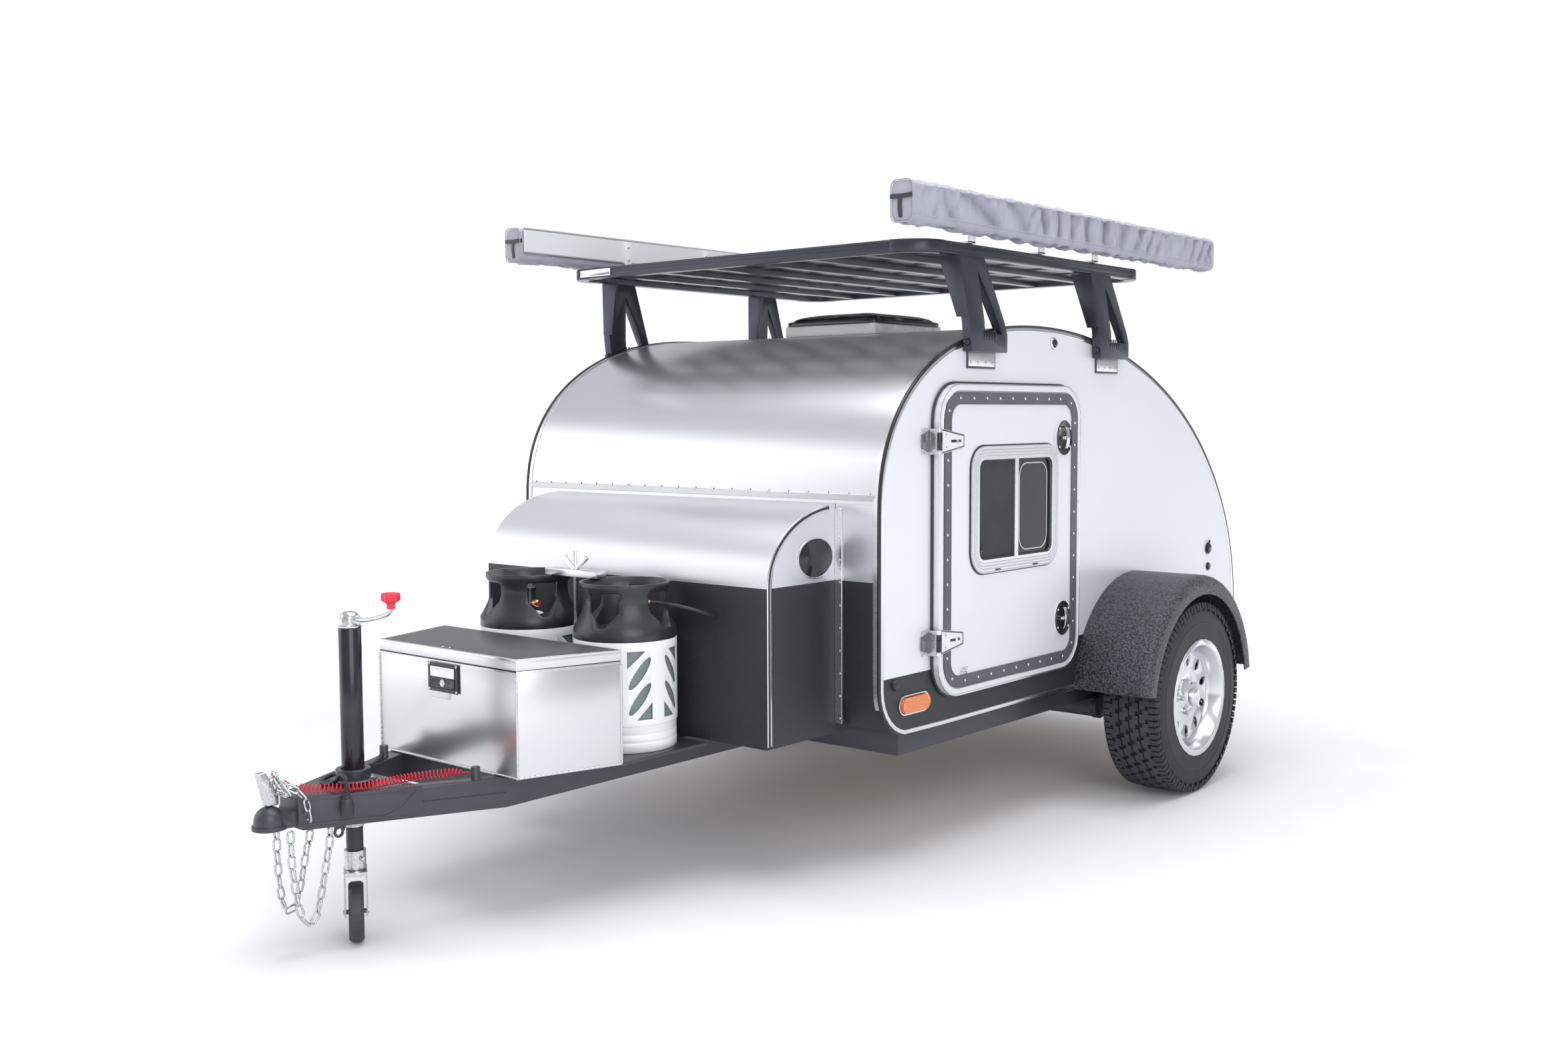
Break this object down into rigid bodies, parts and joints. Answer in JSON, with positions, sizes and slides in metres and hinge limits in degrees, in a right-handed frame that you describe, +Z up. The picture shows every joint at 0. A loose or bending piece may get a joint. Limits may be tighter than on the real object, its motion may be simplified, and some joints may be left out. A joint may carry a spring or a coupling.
{
  "type": "teardrop camping trailer",
  "caption": "Silver teardrop camping trailer with a black roof rack, grey awning bags, a tongue tool box, twin white gas bottles, a nose box and black fenders.",
  "frame": {"origin": "on the floor at the middle of the trailer's length and width, cords not counted", "axes": "+Z up, -Y towards the coupler and the towing car, +X towards the trailer's own left side, which the picture shows"},
  "size_m": [2.086, 3.96, 1.995],
  "materials": {
    "silver_panel": "satin silver paint",
    "aluminium_skin": "satin sheet",
    "frame_paint": "dark powder coat",
    "zinc": "zinc plated",
    "black_plastic": "satin black",
    "bright_aluminium": "silver powder coat and bright edges",
    "bottle_white": "white casing",
    "plywood": "sealed birch plywood",
    "dark_glass": "dark tinted",
    "polished_rim": "polished",
    "tyre_rubber": "tread and sidewall rubber",
    "black_liner": "textured black coating",
    "rack_black": "black powder coat",
    "awning_grey": "coated grey cover",
    "red_lens": "red lens",
    "amber_lens": "amber lens",
    "red_cable": "red coated cable"
  },
  "bodies": {
    "trailer": {"awning_left": "awning_grey", "awning_right": "awning_grey", "axle": "frame_paint", "bottle_clamp": "bright_aluminium", "bottle_collar_left": "black_plastic", "bottle_collar_right": "black_plastic", "bottle_left": "bottle_white", "bottle_right": "bottle_white", "breakaway_cable": "red_cable", "coupler": "frame_paint", "coupler_lever": "zinc", "door_hinge_lower_left": "zinc", "door_hinge_lower_right": "zinc", "door_hinge_upper_left": "zinc", "door_hinge_upper_right": "zinc", "fender_left": "black_liner", "fender_right": "black_liner", "floor": "plywood", "frame": "frame_paint", "front_panel": "aluminium_skin", "galley_bulkhead": "plywood", "jack_head": "zinc", "jack_tube": "black_plastic", "nose_box": "aluminium_skin", "rack_leg_front_left": "rack_black", "rack_leg_front_right": "rack_black", "rack_leg_rear_left": "rack_black", "rack_leg_rear_right": "rack_black", "rack_platform": "rack_black", "rear_sill": "silver_panel", "roof_panel": "aluminium_skin", "safety_chain_left": "zinc", "safety_chain_right": "zinc", "side_marker_left": "amber_lens", "side_marker_right": "amber_lens", "side_wall_left": "silver_panel", "side_wall_right": "silver_panel", "tail_lamp_left": "red_lens", "tail_lamp_right": "red_lens", "toolbox": "bright_aluminium", "trailer_cable": "black_plastic", "trailer_plug": "black_plastic", "vent_base": "bottle_white"},
    "wheel_left": {"rim_left": "polished_rim", "tyre_left": "tyre_rubber"},
    "wheel_right": {"rim_right": "polished_rim", "tyre_right": "tyre_rubber"},
    "door_leaf_left": {"door_left": "silver_panel", "door_window_left": "bright_aluminium", "door_glass_left": "dark_glass"},
    "door_leaf_right": {"door_right": "silver_panel", "door_window_right": "bright_aluminium", "door_glass_right": "dark_glass"},
    "hatch": {"galley_hatch": "aluminium_skin"},
    "box_lid": {"toolbox_lid": "bright_aluminium"},
    "vent_cover": {"vent_lid": "black_plastic"},
    "jack_post": {"jack_leg": "black_plastic"},
    "caster_fork": {"jack_fork": "zinc"},
    "caster_wheel": {"jack_wheel": "tyre_rubber"}
  },
  "joints": [
    {"name": "wheel_left_spin", "type": "hinge", "parent": "trailer", "child": "wheel_left", "pos_m": [0.928, 1.0747, 0.34], "axis": [1, 0, 0], "continuous": true},
    {"name": "wheel_right_spin", "type": "hinge", "parent": "trailer", "child": "wheel_right", "pos_m": [-0.928, 1.0747, 0.34], "axis": [1, 0, 0], "continuous": true},
    {"name": "door_left_swing", "type": "hinge", "parent": "trailer", "child": "door_leaf_left", "pos_m": [0.797, -0.2193, 0.488], "axis": [0, 0, -1], "range_deg": [0, 110]},
    {"name": "door_right_swing", "type": "hinge", "parent": "trailer", "child": "door_leaf_right", "pos_m": [-0.797, -0.2193, 0.488], "axis": [0, 0, 1], "range_deg": [0, 110]},
    {"name": "hatch_lift", "type": "hinge", "parent": "trailer", "child": "hatch", "pos_m": [0, 1.25825, 1.4506], "axis": [1, 0, 0], "range_deg": [0, 80]},
    {"name": "toolbox_lid_lift", "type": "hinge", "parent": "trailer", "child": "box_lid", "pos_m": [0, -1.1138, 0.684], "axis": [-1, 0, 0], "range_deg": [0, 80]},
    {"name": "vent_lift", "type": "hinge", "parent": "trailer", "child": "vent_cover", "pos_m": [0, 0.2637, 1.6553], "axis": [1, 0, 0], "range_deg": [0, 14]},
    {"name": "jack_extend", "type": "slide", "parent": "trailer", "child": "jack_post", "axis": [0, 0, -1], "range_m": [-0.055, 0.15]},
    {"name": "caster_swivel", "type": "hinge", "parent": "jack_post", "child": "caster_fork", "pos_m": [0, -1.698, 0.182], "axis": [0, 0, 1], "continuous": true},
    {"name": "caster_spin", "type": "hinge", "parent": "caster_fork", "child": "caster_wheel", "pos_m": [0.02073, -1.71198, 0.076], "axis": [0.5592, 0.829, 0], "continuous": true}
  ]
}
